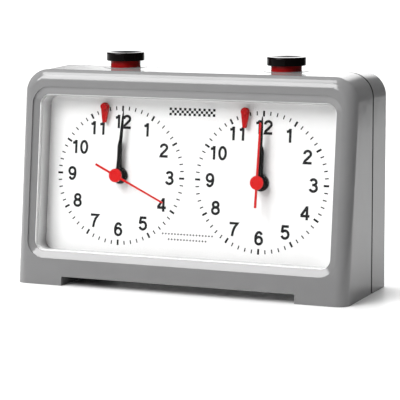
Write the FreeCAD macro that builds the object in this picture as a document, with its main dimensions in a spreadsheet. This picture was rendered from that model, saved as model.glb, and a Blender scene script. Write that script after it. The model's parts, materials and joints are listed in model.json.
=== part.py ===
"""Mechanical chess clock with two quartz movements, push buttons on a rocker and falling flags.

Millimetres.  X runs to the right, Y to the back and Z up.  The origin is on the surface that the
clock stands on, under the middle of the case.  Each dial has a frame of its own, leaning back with
the front: x to the right, y up the dial and z out of the dial towards the player.
"""
import FreeCAD, Part
import math
import os
import re

import Sketcher

Vector = FreeCAD.Vector
Rotation = FreeCAD.Rotation
Placement = FreeCAD.Placement

SIZES = {
    # case
    "case_width": 170.0, "case_depth": 57.1, "seam_height": 103.95, "front_height": 103.1,
    "rear_height": 103.3, "lean": 6.576, "seam_place": 8.63, "seam_gap": 1.5, "wall": 2.4,
    "corner_radius": 11.5, "front_radius": 5.5, "rear_radius": 0.5, "foot_span": 60.0,
    "foot_height": 4.4, "floor_height": 6.8, "lip_depth": 1.7,
    # bezel, window and dial
    "dial_height": 52.6, "dial_place": -10.02, "dial_offset": 36.5, "front_rise": 12.38,
    "bezel_width": 79.2, "bezel_tall": 41.5, "bezel_radius": 8.5, "riser_foot": 11.7,
    "throat_width": 76.0, "throat_tall": 38.0, "throat_radius": 5.0, "throat_rise": 10.77,
    "tray_gap": 0.05, "tray_wall": 0.65, "tray_lip": 0.35, "tray_radius": 4.0,
    "window_low": 8.8, "window_high": 10.6, "glass_gap": 0.05,
    "dial_width": 80.0, "dial_tall": 38.3, "dial_thick": 1.5, "dial_hole": 2.55,
    "dial_screw_across": 78.0, "dial_screw_up": 30.0, "dial_screw_hole": 1.05, "dial_screw": 1.0,
    # case screws
    "screw_across": 76.0, "screw_low": 10.8, "screw_high": 96.0, "post_radius": 3.4,
    "screw_radius": 1.25, "screw_hole": 1.3, "screw_clear": 1.6, "head_radius": 2.6,
    "head_clear": 2.9, "head_depth": 2.0, "post_end": 14.0, "low_post_front": -17.0,
    "high_post_front": -10.0, "screw_front": -2.0, "screw_seat": 22.0,
    # buttons
    "button_offset": 42.0, "cap_radius": 9.25, "cap_low": 106.75, "cap_high": 110.75,
    "cap_dish": 0.66, "cap_rim": 0.8, "stem_radius": 7.3, "stem_clear": 0.08, "button_shift": 0.25,
    "spigot_radius": 4.0, "spigot_high": 108.6, "flange_radius": 8.6, "flange_low": 97.2,
    "flange_high": 98.4, "foot_radius": 4.0, "stem_low": 93.0, "ring_radius": 10.8,
    "ring_rise": 0.12, "neck_radius": 9.0,
    "neck_low": 100.4, "neck_clear": 0.05,
    # rocker
    "pivot_height": 88.0, "arm_thick": 2.4, "arm_half_depth": 4.0, "hub_radius": 5.0,
    "pin_radius": 1.5, "pin_clear": 0.05, "toe_drop": 8.6,
    "shelf_half": 9.0, "board_half": 11.0, "board_top": 75.9, "board_thick": 1.6,
    "stud_top": 80.8, "leaf_tip": -6.8, "leaf_reach": 10.4,
    "pin_front": 0.0, "pin_back": 25.0, "bracket_half": 4.5, "bracket_front": -0.6,
    # hands
    "nut_radius": 4.0, "nut_high": 0.9, "hour_low": 1.4, "hour_high": 1.9, "minute_low": 3.1,
    "minute_high": 3.6, "second_low": 5.3, "second_high": 6.1, "second_hub": 3.27,
    "second_reach": 28.1, "second_tail": 11.8, "minute_reach": 31.0, "hour_reach": 17.0,
    "minute_hub": 3.0, "hour_hub": 3.3, "minute_half_width": 1.0, "hour_half_width": 1.25,
    # coaxial arbors
    "second_arbor": 0.5, "minute_bore": 0.55, "minute_tube": 1.0, "hour_bore": 1.05,
    "hour_tube": 1.7, "neck_bore": 1.78, "neck_outer": 2.5,
    # movement case
    "box_half": 25.0, "box_front": -2.0, "box_split": -10.0, "box_back": -17.6, "box_wall": 1.2,
    # gear layers, each named for its lower face, and the common face width
    "face": 0.6, "hour_layer": -4.7, "minute_layer": -5.9, "centre_layer": -7.7,
    "third_layer": -9.3, "second_layer": -10.9, "step_layer": -12.5,
    # gear modules and places
    "motion_module": 0.25, "hour_module": 0.24, "third_module": 0.22, "drive_module": 0.25,
    "bearing_gap": 0.05, "arbor": 0.45, "boss": 1.3,
    # flags
    "flag_across": -8.6, "flag_up": 32.95, "flag_round": 2.0, "flag_drop": 7.7, "flag_tip": 0.95,
    "flag_low": 1.5, "flag_high": 2.8, "flag_hub_high": 4.2, "flag_pin": 0.85, "flag_bore": 0.92,
    "flag_pin_high": 3.3,
    # coil core and circuit board in each movement
    "core_left": -17.0, "core_right": 11.0, "core_low": 17.6, "core_top": 20.4,
    "board_left": 12.0, "board_right": 22.5, "board_low": -22.0, "board_high": 20.0,
    # setting knobs
    "knob_radius": 7.0, "knob_thick": 4.5, "knob_well": 9.0, "knob_shaft": 1.25, "knob_sink": 1.3,
    # battery, lying across the middle of the case
    "cell_radius": 7.2, "cell_length": 49.5, "cell_place": 14.0, "cell_height": 16.5,
    "nub_radius": 2.75, "nub_length": 1.0, "door_half": 30.0, "door_low": 9.0, "door_high": 25.0,
    "door_gap": 0.3,
}

TEETH = {"hour": 40, "minute_pinion": 10, "minute": 36, "cannon": 12, "knob": 12, "centre": 60,
         "third_pinion": 8, "third": 64, "second_pinion": 8, "second": 50, "step_pinion": 10,
         "step": 48, "rotor_pinion": 8}

SIDES = {"left": -1, "right": 1}
MINUTE_HAND_TURN = {"left": 3.5, "right": 1.1}
HOUR_HAND_TURN = {"left": -0.5, "right": 1.0}
SECOND_HAND_TURN = {"left": 114.9, "right": 1.2}

doc = FreeCAD.newDocument("chess_clock")
sheet = doc.addObject("Spreadsheet::Sheet", "Sizes")
for row, (alias, number) in enumerate(SIZES.items(), 1):
    sheet.set(f"A{row}", alias)
    sheet.set(f"B{row}", str(number))
    sheet.setAlias(f"B{row}", alias)
doc.recompute()

NODES = []


# ---------------------------------------------------------------- sizes and sketches
def cell(text):
    """The expression with every size name pointing at its cell."""
    return re.sub(r"\b(?!tan\b|cos\b|sin\b|deg\b)[a-z][a-z_]*", lambda word: "Sizes." + word.group(0), text)


def size(value):
    """A number from a plain number or from an expression of size names."""
    if not isinstance(value, str):
        return float(value)
    result = sheet.evalExpression(cell(value))
    return float(getattr(result, "Value", result))


def constrain(sketch, constraint, value):
    index = sketch.addConstraint(constraint)
    if isinstance(value, str):
        sketch.setExpression(f"Constraints[{index}]", cell(value))


def place_point(sketch, geometry, point, across, up):
    for kind, value in (("DistanceX", across), ("DistanceY", up)):
        constrain(sketch, Sketcher.Constraint(kind, -1, 1, geometry, point, size(value)), value)


def draw_polygon(sketch, points):
    corners = [Vector(size(across), size(up), 0) for across, up in points]
    first = sketch.GeometryCount
    count = len(corners)
    for index in range(count):
        sketch.addGeometry(Part.LineSegment(corners[index], corners[(index + 1) % count]), False)
    for index in range(count):
        sketch.addConstraint(
            Sketcher.Constraint("Coincident", first + index, 2, first + (index + 1) % count, 1))
    for index, (across, up) in enumerate(points):
        place_point(sketch, first + index, 1, across, up)


def draw_disc(sketch, across, up, radius):
    centre = Vector(size(across), size(up), 0)
    index = sketch.addGeometry(Part.Circle(centre, Vector(0, 0, 1), size(radius)), False)
    place_point(sketch, index, 3, across, up)
    constrain(sketch, Sketcher.Constraint("Radius", index, size(radius)), radius)


def draw_rounded(sketch, half_width, half_height, radius):
    """A rectangle about the sketch origin with four round corners."""
    wide, tall, bend = size(half_width), size(half_height), size(radius)
    first = sketch.GeometryCount
    signs = ((1, 1), (-1, 1), (-1, -1), (1, -1))
    for index, (right, top) in enumerate(signs):
        centre = Vector(right * (wide - bend), top * (tall - bend), 0)
        start = math.radians(90 * index)
        circle = Part.Circle(centre, Vector(0, 0, 1), bend)
        sketch.addGeometry(Part.ArcOfCircle(circle, start, start + math.pi / 2), False)
        place_point(sketch, first + index, 3,
                    f"{right} * ({half_width} - {radius})", f"{top} * ({half_height} - {radius})")
        constrain(sketch, Sketcher.Constraint("Radius", first + index, bend), f"{radius} * 1")
    for index in range(4):
        here = sketch.Geometry[first + index].EndPoint
        there = sketch.Geometry[first + (index + 1) % 4].StartPoint
        line = sketch.addGeometry(Part.LineSegment(here, there), False)
        sketch.addConstraint(Sketcher.Constraint("Tangent", first + index, 2, line, 1))
        sketch.addConstraint(Sketcher.Constraint("Tangent", line, 2, first + (index + 1) % 4, 1))


def rectangle(left, right, low, high):
    return ("polygon", [(left, low), (right, low), (right, high), (left, high)])


DRAW = {"polygon": draw_polygon, "disc": draw_disc, "rounded": draw_rounded}


def add_sketch(body, role, shapes, level=0.0):
    plane = next(item for item in body.Origin.OriginFeatures if item.Role == role)
    sketch = body.newObject("Sketcher::SketchObject", body.Name + "_sketch")
    sketch.AttachmentSupport = (plane, [""])
    sketch.MapMode = "FlatFace"
    sketch.AttachmentOffset = Placement(Vector(0, 0, size(level)), Rotation())
    if isinstance(level, str):
        sketch.setExpression(".AttachmentOffset.Base.z", cell(level))
    for kind, *values in shapes:
        DRAW[kind](sketch, *values)
    return sketch


# ---------------------------------------------------------------- features of a body
def pad(shapes, low, high):
    def build(body):
        feature = body.newObject("PartDesign::Pad", body.Name + "_pad")
        feature.Profile = add_sketch(body, "XY_Plane", shapes, low)
        feature.setExpression("Length", cell(f"({high}) - ({low})"))
    return build


def pocket(shapes, low, high):
    def build(body):
        doc.recompute()
        before = body.Shape.Volume
        feature = body.newObject("PartDesign::Pocket", body.Name + "_pocket")
        feature.Profile = add_sketch(body, "XY_Plane", shapes, high)
        feature.setExpression("Length", cell(f"({high}) - ({low})"))
        doc.recompute()
        if body.Shape.Volume >= before:
            raise ValueError(f"a pocket of {body.Label} removes nothing")
    return build


def turn(points):
    """A profile of (radius, height) corners turned about the piece's own z axis."""
    def build(body):
        feature = body.newObject("PartDesign::Revolution", body.Name + "_turn")
        feature.Profile = add_sketch(body, "XZ_Plane", [("polygon", points)])
        feature.ReferenceAxis = (feature.Profile[0], ["V_Axis"])
        feature.Angle = 360
    return build


def fillet(radius, chosen):
    """Rounds the edges for which chosen(edge) holds."""
    def build(body):
        doc.recompute()
        base = body.Tip
        names = [f"Edge{index}" for index, edge in enumerate(base.Shape.Edges, 1) if chosen(edge)]
        if not names:
            raise ValueError(f"a fillet of {body.Label} has no edges")
        feature = body.newObject("PartDesign::Fillet", body.Name + "_fillet")
        feature.Base = (base, names)
        feature.setExpression("Radius", cell(f"{radius} * 1"))
    return build


def piece(label, frame, *features, several=False, keep=True):
    """One sub-part as a body, modelled in its own frame and placed by it."""
    body = doc.addObject("PartDesign::Body", label)
    body.Label = label
    body.AllowCompound = several
    for feature in features:
        feature(body)
    body.Placement = frame
    doc.recompute()
    if keep:
        NODES.append(body)
    return body


def combined(label, kind, base, tool, keep=True):
    """A Part::Cut, Part::Fuse or Part::Common of two objects."""
    result = doc.addObject(kind, label)
    result.Label = label
    result.Base = base
    result.Tool = tool
    doc.recompute()
    if keep:
        NODES.append(result)
    return result


def stack(label, tools):
    """A Part::MultiFuse of helper solids."""
    result = doc.addObject("Part::MultiFuse", label)
    result.Shapes = tools
    doc.recompute()
    return result


def formed(label, frame, shape):
    """A sub-part whose shape comes from a formula, such as a toothed wheel."""
    feature = doc.addObject("Part::Feature", label)
    feature.Label = label
    feature.Shape = shape
    feature.Placement = frame
    NODES.append(feature)
    return feature


# ---------------------------------------------------------------- frames
LEAN = size("lean")
WORLD = Placement()
SIDEWAYS = Placement(Vector(), Rotation(Vector(1, 1, 1), 120))
REARWARD = Placement(Vector(), Rotation(Vector(1, 0, 0), -90))


def dial_frame(side):
    centre = Vector(side * size("dial_offset"), size("dial_place"), size("dial_height"))
    return Placement(centre, Rotation(Vector(1, 0, 0), 90 - LEAN))


MIDDLE_FRAME = dial_frame(0)


def lever_frame(turned):
    """The rocker's frame: x right, y up, z towards the player, turned about its pivot."""
    centre = Vector(0, size("seam_place"), size("pivot_height"))
    return Placement(centre, Rotation(Vector(1, 0, 0), 90).multiply(Rotation(Vector(0, 0, 1), turned)))


def button_frame(side):
    shift = -side * size("button_shift")
    return Placement(Vector(side * size("button_offset"), size("seam_place"), shift), Rotation())


# ---------------------------------------------------------------- case
FRONT_TOP = "-case_depth / 2 + front_height * tan(lean * 1deg)"


def side_plane(height):
    """Where the dial plane lies at a height, as a distance towards the back."""
    return f"dial_place + ({height} - dial_height) * tan(lean * 1deg)"


def rounded_shell(label, profile, half_width, corner, edge_radius, edge_test):
    """The side profile drawn across the case, with round upper corners and a round rim."""
    def upper_corner(edge):
        middle = edge.CenterOfMass
        return abs(abs(middle.z) - size(half_width)) < 0.01 and middle.y > 60 and abs(
            edge.tangentAt(edge.FirstParameter).x) > 0.9
    features = [pad([("polygon", profile)], f"-{half_width}", half_width),
                fillet(corner, upper_corner)]
    if edge_radius:
        features.append(fillet(edge_radius, edge_test))
    return piece(label, SIDEWAYS, *features, keep=False)


def front_rim(edge):
    """Edges that lie in the leaning front plane, apart from the one on the ground."""
    ends = [edge.valueAt(parameter) for parameter in edge.ParameterRange]
    slope = math.tan(math.radians(LEAN))
    on_front = all(abs(end.x - (-size("case_depth") / 2 + end.y * slope)) < 0.05 for end in ends)
    return on_front and edge.CenterOfMass.y > 1.0


def rear_rim(edge):
    ends = [edge.valueAt(parameter) for parameter in edge.ParameterRange]
    return all(abs(end.x - size("case_depth") / 2) < 0.01 for end in ends) and edge.CenterOfMass.y > 1.0


def foot_notch():
    return piece("foot_notch", WORLD,
                 pad([rectangle("-foot_span", "foot_span", "-case_depth", "case_depth")],
                     "-1", "foot_height"), keep=False)


def button_holes():
    return piece("button_holes", WORLD,
                 pad([("disc", "-button_offset", "seam_place", "neck_radius + neck_clear"),
                      ("disc", "button_offset", "seam_place", "neck_radius + neck_clear")],
                     "neck_low - 3", "seam_height + 5"), several=True, keep=False)


SCREW_PLACES = [(f"{across} * screw_across", f"-{up}") for across in (-1, 1)
                for up in ("screw_low", "screw_high")]


def discs(places, radius):
    return [("disc", across, up, radius) for across, up in places]


def bezel_loft(label, sections):
    """A ruled solid between rounded rectangles (half width, half height, radius, height)."""
    sketches = []
    for index, (wide, tall, radius, level) in enumerate(sections):
        sketch = doc.addObject("Sketcher::SketchObject", f"{label}_{index}")
        draw_rounded(sketch, wide, tall, radius)
        sketch.Placement = MIDDLE_FRAME.multiply(Placement(Vector(0, 0, size(level)), Rotation()))
        sketches.append(sketch)
    loft = doc.addObject("Part::Loft", label)
    loft.Sections = sketches
    loft.Solid = True
    loft.Ruled = True
    doc.recompute()
    return loft


def make_front_shell():
    outer = rounded_shell("front_outer", [
        ("-case_depth / 2", 0), (FRONT_TOP, "front_height"),
        ("seam_place - seam_gap / 2", "seam_height"), ("seam_place - seam_gap / 2", 0)],
        "case_width / 2", "corner_radius", "front_radius", front_rim)
    inner_top = "seam_height - wall - 0.6"
    inner = rounded_shell("front_inner", [
        (side_plane("floor_height"), "floor_height"), (side_plane(inner_top), inner_top),
        ("seam_place + 3", inner_top), ("seam_place + 3", "floor_height")],
        "(case_width / 2 - wall)", "corner_radius - wall", None, None)
    throat = bezel_loft("throat", [
        ("bezel_width", "bezel_tall", "bezel_radius", "front_rise + 3"),
        ("bezel_width", "bezel_tall", "bezel_radius", "riser_foot"),
        ("throat_width", "throat_tall", "throat_radius", "throat_rise"),
        ("throat_width", "throat_tall", "throat_radius", "-1")])
    dial_holes = piece("dial_screw_holes", MIDDLE_FRAME, pad(discs(
        [(f"{a} * dial_screw_across", f"{b} * dial_screw_up") for a in (-1, 1) for b in (-1, 1)],
        "dial_screw_hole"), "-1", "7"), several=True, keep=False)
    hollow = combined("front_hollow", "Part::Cut", outer, stack("front_tools", [
        inner, throat, foot_notch(), button_holes(), dial_holes]), keep=False)
    low_places = [place for place in SCREW_PLACES if "low" in place[1]]
    high_places = [place for place in SCREW_PLACES if "high" in place[1]]
    posts = piece("front_posts", REARWARD,
                  pad(discs(low_places, "post_radius"), "low_post_front", "post_end - 0.3"),
                  pad(discs(high_places, "post_radius"), "high_post_front", "post_end - 0.3"),
                  several=True, keep=False)
    bracket = piece("pin_bracket", WORLD, pad(
        [rectangle("-bracket_half", "bracket_half", "bracket_front", "seam_place - arm_half_depth - 0.4")],
        "pivot_height - bracket_half", "seam_height - wall"), keep=False)
    bores = piece("front_bores", REARWARD,
                  pad(discs(SCREW_PLACES, "screw_hole"), "screw_front", "post_end + 1"),
                  pad([("disc", 0, "-pivot_height", "pin_radius + 0.01")], "pin_front", "seam_place"),
                  several=True, keep=False)
    whole = stack("front_whole", [hollow, posts, bracket])
    combined("front_shell", "Part::Cut", whole, bores)


def make_rear_shell():
    outer = rounded_shell("rear_outer", [
        ("seam_place + seam_gap / 2", 0), ("seam_place + seam_gap / 2", "seam_height"),
        ("case_depth / 2", "rear_height"), ("case_depth / 2", 0)],
        "case_width / 2", "corner_radius", "rear_radius", rear_rim)
    lip_front, lip_back = "seam_place - seam_gap / 2", "seam_place + seam_gap / 2 + 1"
    lip = rounded_shell("rear_lip", [
        (lip_front, 0), (lip_front, "seam_height - lip_depth"),
        (lip_back, "seam_height - lip_depth"), (lip_back, 0)],
        "(case_width / 2 - lip_depth)", "corner_radius - lip_depth", None, None)
    inner_top = "seam_height - wall - 0.6"
    inner = rounded_shell("rear_inner", [
        ("seam_place - 3", "floor_height"), ("seam_place - 3", inner_top),
        ("case_depth / 2 - wall", inner_top), ("case_depth / 2 - wall", "floor_height")],
        "(case_width / 2 - wall)", "corner_radius - wall", None, None)
    body = stack("rear_body", [outer, lip])
    hollow = combined("rear_hollow", "Part::Cut", body,
                      stack("rear_tools", [inner, foot_notch(), button_holes()]), keep=False)
    posts = piece("rear_posts", REARWARD, pad(discs(SCREW_PLACES, "post_radius"), "post_end",
                                              "case_depth / 2 - 1"), several=True, keep=False)
    boss = piece("rear_pin_boss", REARWARD, pad([("disc", 0, "-pivot_height", "pin_radius + 2.5")],
                 "seam_place + arm_half_depth + 0.4", "case_depth / 2 - 1"), keep=False)
    inside_back = "case_depth / 2 - wall"
    trough = rectangle("seam_place + 1", f"{inside_back} - 3", "floor_height - 1", "floor_height + 4")
    end_wall = rectangle("cell_place - 8.2", f"{inside_back} + 0.5", "floor_height + 0.4", "door_high + 3")
    cradle = piece("cradle", SIDEWAYS,
                   pad([trough], "-cell_length / 2 + 4", "cell_length / 2 - 4"),
                   pad([end_wall], "cell_length / 2 + 3.4", "cell_length / 2 + 5"),
                   pad([end_wall], "-cell_length / 2 - 7", "-cell_length / 2 - 5.4"),
                   several=True, keep=False)
    shelf = piece("switch_shelf", WORLD, pad(
        [rectangle("-shelf_half", "shelf_half", "seam_place + 1", "case_depth / 2 - 1")],
        "board_top - board_thick - 3", "board_top - board_thick"), keep=False)
    cell_space = piece("cell_space", SIDEWAYS, pad([
        ("disc", "cell_place", "cell_height", "cell_radius + 0.15")],
        "-cell_length / 2 - 2", "cell_length / 2 + 2"), keep=False)
    cradle = combined("cradle_cut", "Part::Cut", cradle, cell_space, keep=False)
    knob_places = [(f"{side} * dial_offset + {KNOB_ACROSS}", f"-{knob_height()}") for side in (-1, 1)]
    bores = piece("rear_bores", REARWARD,
                  pad(discs(SCREW_PLACES, "screw_clear"), "post_end - 1", "screw_seat + 1"),
                  pad(discs(SCREW_PLACES, "head_clear"), "screw_seat", "case_depth / 2 + 1"),
                  pad([("disc", 0, "-pivot_height", "pin_radius + 0.01")], "seam_place", "pin_back"),
                  pad(discs(knob_places, "knob_well"), f"{inside_back} - 1", "case_depth / 2 + 1"),
                  pad([rectangle("-door_half", "door_half", "-door_high", "-door_low")],
                      "case_depth / 2 - 1.8", "case_depth / 2 + 1"),
                  pad([rectangle("-door_half + 2", "door_half - 2", "-door_high + 1", "-door_low - 1")],
                      f"{inside_back} - 1", "case_depth / 2 + 1"),
                  several=True, keep=False)
    whole = stack("rear_whole", [hollow, posts, boss, cradle, shelf])
    combined("rear_shell", "Part::Cut", whole, bores)


def make_case_screws():
    piece("case_screws", REARWARD,
          pad(discs(SCREW_PLACES, "screw_radius"), "screw_front + 1", "screw_seat"),
          pad(discs(SCREW_PLACES, "head_radius"), "screw_seat", "screw_seat + head_depth"),
          pocket([shape for across, up in SCREW_PLACES for shape in cross(across, up, 0.35, 1.6)],
                 "screw_seat + head_depth - 1", "screw_seat + head_depth"), several=True)


def cross(across, up, half_thick, half_long):
    """A cross recess as one twelve-cornered outline."""
    points = []
    for quarter in range(4):
        cosine, sine = ((1, 0), (0, 1), (-1, 0), (0, -1))[quarter]
        for near, far in ((half_long, -half_thick), (half_long, half_thick), (half_thick, half_thick)):
            turned_across, turned_up = near * cosine - far * sine, near * sine + far * cosine
            points.append((f"{across} + {turned_across}", f"{up} + {turned_up}"))
    return [("polygon", points)]


# ---------------------------------------------------------------- dial, window and flags
def throat_outline(inset, radius):
    """The opening of the case front, drawn smaller all round."""
    return ("rounded", f"(throat_width - {inset})", f"(throat_tall - {inset})", radius)


def make_dial_plate():
    corners = [(f"{a} * dial_screw_across", f"{b} * dial_screw_up") for a in (-1, 1) for b in (-1, 1)]
    piece("dial_plate", MIDDLE_FRAME,
          pad([rectangle("-dial_width", "dial_width", "-dial_tall", "dial_tall"),
               ("disc", "-dial_offset", 0, "dial_hole"), ("disc", "dial_offset", 0, "dial_hole"),
               ("disc", "-dial_offset + flag_across", "flag_up", "flag_pin + 0.02"),
               ("disc", "dial_offset + flag_across", "flag_up", "flag_pin + 0.02")]
              + discs(corners, "dial_screw_hole"), "-dial_thick", 0),
          pad([throat_outline("tray_gap", "throat_radius"), throat_outline("tray_wall", "tray_radius")],
              0, "window_low - tray_gap"),
          pad([throat_outline("tray_gap", "throat_radius"), throat_outline("tray_lip", "tray_radius")],
              "window_low - tray_gap", "window_high"))
    piece("dial_screws", MIDDLE_FRAME,
          pad(discs(corners, "dial_screw"), "-dial_thick", "6"),
          pad(discs(corners, "dial_screw * 2"), "-dial_thick - 1.4", "-dial_thick"),
          several=True)


def make_mounting_nuts():
    rings = [("disc", f"{side} * dial_offset", 0, radius) for side in (-1, 1)
             for radius in ("nut_radius", "neck_outer")]
    piece("mounting_nuts", MIDDLE_FRAME, pad(rings, 0, "nut_high"), several=True)


def make_window():
    piece("window", MIDDLE_FRAME,
          pad([throat_outline("(tray_lip + glass_gap)", "tray_radius")], "window_low", "window_high"))


def make_flags():
    places = [(f"{side} * dial_offset + flag_across", "flag_up") for side in (-1, 1)]
    piece("flag_pins", MIDDLE_FRAME,
          pad(discs(places, "flag_pin"), "-dial_thick", "flag_pin_high"),
          pad(discs(places, "flag_pin * 2"), "-dial_thick - 0.6", "-dial_thick"),
          pad(discs(places, "flag_pin * 1.7"), "0", "flag_low - 0.15"),
          several=True)
    blade = [("-flag_round", 0), ("-flag_tip", "-flag_drop + 0.5"),
             ("-flag_tip + 0.35", "-flag_drop"), ("flag_tip - 0.35", "-flag_drop"),
             ("flag_tip", "-flag_drop + 0.5"), ("flag_round", 0)]
    for name, side in SIDES.items():
        frame = dial_frame(side).multiply(
            Placement(Vector(size("flag_across"), size("flag_up"), 0), Rotation()))
        piece(f"flag_{name}", frame,
              pad([("disc", 0, 0, "flag_round")], "flag_low", "flag_high"),
              pad([("polygon", blade)], "flag_low", "flag_high"),
              pad([("disc", 0, 0, "flag_round * 0.8")], "flag_low", "flag_hub_high"),
              pocket([("disc", 0, 0, "flag_bore")], "flag_low - 0.1", "flag_pin_high + 0.1"))


# ---------------------------------------------------------------- buttons and rocker
DISH_RADIUS = "((cap_radius - cap_rim) ^ 2 + cap_dish ^ 2) / (2 * cap_dish)"


def make_buttons():
    case = stack("case_around_collars", [node for node in NODES if node.Label.endswith("_shell")])
    roof_line = [(FRONT_TOP, "neck_low - 1"), (FRONT_TOP, "front_height + ring_rise"),
                 ("seam_place - seam_gap / 2", "seam_height + ring_rise"),
                 ("seam_place + seam_gap / 2", "seam_height + ring_rise"),
                 ("case_depth / 2", "rear_height + ring_rise"), ("case_depth / 2", "neck_low - 1")]
    for name, side in SIDES.items():
        centre = Placement(Vector(side * size("button_offset"), size("seam_place"), 0), Rotation())
        blank = piece(f"collar_blank_{name}", centre, turn([
            ("stem_radius + stem_clear", "neck_low"), ("neck_radius", "neck_low"),
            ("neck_radius", "front_height"), ("ring_radius", "front_height"),
            ("ring_radius", "seam_height + 1"), ("stem_radius + stem_clear", "seam_height + 1")]),
            keep=False)
        roof = piece(f"collar_roof_{name}", SIDEWAYS, pad([("polygon", roof_line)],
                     f"{side} * button_offset - 15", f"{side} * button_offset + 15"), keep=False)
        collar = combined(f"collar_low_{name}", "Part::Common", blank, roof, keep=False)
        combined(f"button_collar_{name}", "Part::Cut", collar, case)
        piece(f"button_stem_{name}", button_frame(side), turn([
            (0, "stem_low"), ("foot_radius", "stem_low"), ("foot_radius", "flange_low"),
            ("flange_radius", "flange_low"), ("flange_radius", "flange_high"),
            ("stem_radius", "flange_high"), ("stem_radius", "cap_low"), ("spigot_radius", "cap_low"),
            ("spigot_radius", "spigot_high"), (0, "spigot_high")]))
        cap = piece(f"cap_blank_{name}", button_frame(side), turn([
            ("spigot_radius", "cap_low"), ("cap_radius - 0.25", "cap_low"),
            ("cap_radius", "cap_low + 0.25"),
            ("cap_radius", "cap_high - 0.6"), ("cap_radius - 0.08", "cap_high - 0.3"),
            ("cap_radius - 0.3", "cap_high - 0.08"), ("cap_radius - 0.6", "cap_high"),
            (0, "cap_high"), (0, "spigot_high"),
            ("spigot_radius", "spigot_high")]), keep=False)
        dish = doc.addObject("Part::Sphere", f"dish_{name}")
        dish.setExpression("Radius", cell(DISH_RADIUS))
        centre_up = size("cap_high - cap_dish") + size(DISH_RADIUS)
        dish.Placement = button_frame(side).multiply(
            Placement(Vector(0, 0, centre_up), Rotation(Vector(1, 0, 0), 90)))
        combined(f"button_cap_{name}", "Part::Cut", cap, dish)


def arm_end(side):
    """The rocker arm's outline beyond the hub, ending under a round pad."""
    tip = f"{side} * (button_offset + 2.5)"
    return [(f"{side} * 3", "arm_thick"), (tip, "arm_thick"), (tip, "-arm_thick * 0.4"),
            (f"{side} * (button_offset - 6)", "-arm_thick * 0.4"), (f"{side} * 6", "-arm_thick * 1.4"),
            (f"{side} * 3", "-arm_thick * 1.4")]


def rocker_tilt():
    """The rocker's resting turn in degrees: the left button stands a little higher."""
    return -math.degrees(math.asin(size("button_shift") / size("button_offset")))


def rocker_pad(side):
    """The rounded nose under one stem."""
    top = "(stem_low - pivot_height - 0.02)"
    middle = f"{side} * button_offset"
    return [(f"{middle} - 1.2", "arm_thick - 0.2"), (f"{middle} + 1.2", "arm_thick - 0.2"),
            (f"{middle} + 1.2", f"{top} - 0.5"), (f"{middle} + 0.7", top), (f"{middle} - 0.7", top),
            (f"{middle} - 1.2", f"{top} - 0.5")]


def make_rocker():
    low, high = "-arm_half_depth", "arm_half_depth"
    toe = [("-2.4", "-3"), ("-0.6", "-toe_drop"), ("0.6", "-toe_drop"), ("2.4", "-3")]
    outlines = [arm_end(-1), arm_end(1), rocker_pad(-1), rocker_pad(1), toe]
    piece("rocker", lever_frame(rocker_tilt()),
          pad([("disc", 0, 0, "hub_radius")], low, high),
          *[pad([("polygon", outline)], low, high) for outline in outlines],
          pocket([("disc", 0, 0, "pin_radius + pin_clear")], low, high))
    piece("rocker_pin", REARWARD, pad([("disc", 0, "-pivot_height", "pin_radius")],
                                      "pin_front + 0.3", "pin_back - 0.3"))


def make_switch():
    """The detent leaf and the contacts, which stand on a small board under the rocker."""
    upright = Placement(Vector(0, size("seam_place"), size("board_top")), Rotation(Vector(1, 0, 0), 90))
    crest = "pivot_height - toe_drop - board_top - 0.8"
    piece("detent_spring", upright,
          pad([("polygon", [("-8.5", "0.3"), ("-3", "0.3"), ("0", crest), ("3", "0.3"), ("8.5", "0.3"),
                            ("8.5", "0"), ("2.8", "0"), ("0", f"{crest} - 0.4"), ("-2.8", "0"),
                            ("-8.5", "0")])], "-2.5", "2.5"))
    piece("switch_board", WORLD,
          pad([rectangle("-board_half", "board_half", "seam_place - 4", "seam_place + 8")],
              "board_top - board_thick", "board_top"))
    piece("contact_studs", WORLD,
          pad([("disc", "-leaf_reach", "seam_place", "0.5"), ("disc", "leaf_reach", "seam_place", "0.5")],
              "board_top", "stud_top"), several=True)
    under = "-arm_thick * 1.4"
    leaves = [[(f"{side} * 4.3", under), (f"{side} * 6", under),
               (f"{side} * (leaf_reach + 0.4)", "leaf_tip + 0.3"),
               (f"{side} * (leaf_reach + 0.4)", "leaf_tip"),
               (f"{side} * (leaf_reach - 0.4)", "leaf_tip"), (f"{side} * 5.9", f"{under} - 0.3"),
               (f"{side} * 4.3", f"{under} - 0.3")] for side in (-1, 1)]
    piece("contact_leaves", lever_frame(rocker_tilt()),
          pad([("polygon", leaf) for leaf in leaves], "-2.5", "2.5"), several=True)


# ---------------------------------------------------------------- gears
def toothed(teeth, module, low, phase, bore=0.0):
    """A spur wheel of straight-sided teeth, one of them centred at the phase angle in degrees."""
    pitch = teeth * module / 2
    tip, root = pitch + 0.85 * module, pitch - 1.2 * module
    step = 2 * math.pi / teeth
    points = []
    for index in range(teeth):
        middle = math.radians(phase) + index * step
        for radius, share in ((root, -0.21), (tip, -0.07), (tip, 0.07), (root, 0.21)):
            angle = middle + share * step * pitch / radius
            points.append(Vector(radius * math.cos(angle), radius * math.sin(angle), low))
    outline = Part.Face(Part.makePolygon(points + points[:1]))
    wheel = outline.extrude(Vector(0, 0, size("face")))
    return bored(wheel, bore, low - 1, size("face") + 2)


def bored(solid, radius, low, length):
    if not radius:
        return solid
    return solid.cut(Part.makeCylinder(radius, length, Vector(0, 0, low)))


def rod(radius, low, high, bore=0.0):
    return bored(Part.makeCylinder(radius, high - low, Vector(0, 0, low)), bore, low - 1, high - low + 2)


def moved(solid, across, up):
    copy = solid.copy()
    copy.translate(Vector(across, up, 0))
    return copy


def beside(frame, place):
    """The dial frame moved to an arbor's place."""
    return frame.multiply(Placement(Vector(*place, 0), Rotation()))


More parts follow.
